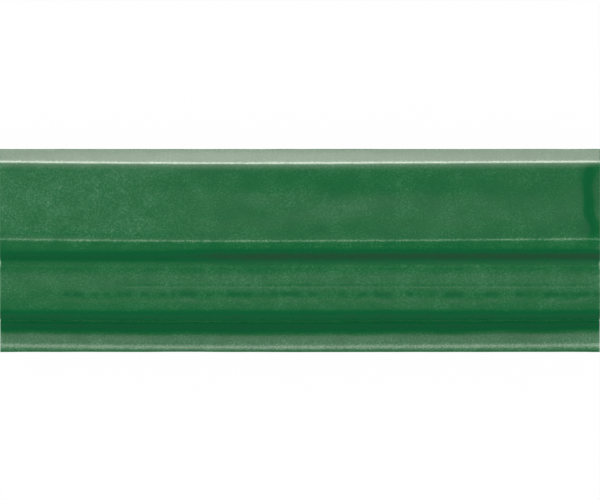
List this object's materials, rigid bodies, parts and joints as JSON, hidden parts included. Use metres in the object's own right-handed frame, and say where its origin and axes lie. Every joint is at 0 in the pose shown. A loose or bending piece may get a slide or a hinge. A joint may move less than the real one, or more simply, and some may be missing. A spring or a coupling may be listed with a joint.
{
  "type": "glazed ceramic moulding tile",
  "caption": "Glazed ceramic trim tile of one fired piece, with a flat band, a rounded nosing and an ogee that runs out to a lipped foot.",
  "frame": {"origin": "centre of the back face, the face that is bedded on the wall", "axes": "+X along the length of the moulding, +Y towards the edge that goes up on the wall, +Z out of the glazed face"},
  "size_m": [0.15, 0.0508, 0.02],
  "materials": {
    "glazed_body": "deep bottle-green gloss glaze, paler at the arrises, on the face and the upper part of the edges, with a bare cream biscuit back"
  },
  "bodies": {
    "root": {"moulding_tile": "glazed_body"}
  },
  "joints": []
}
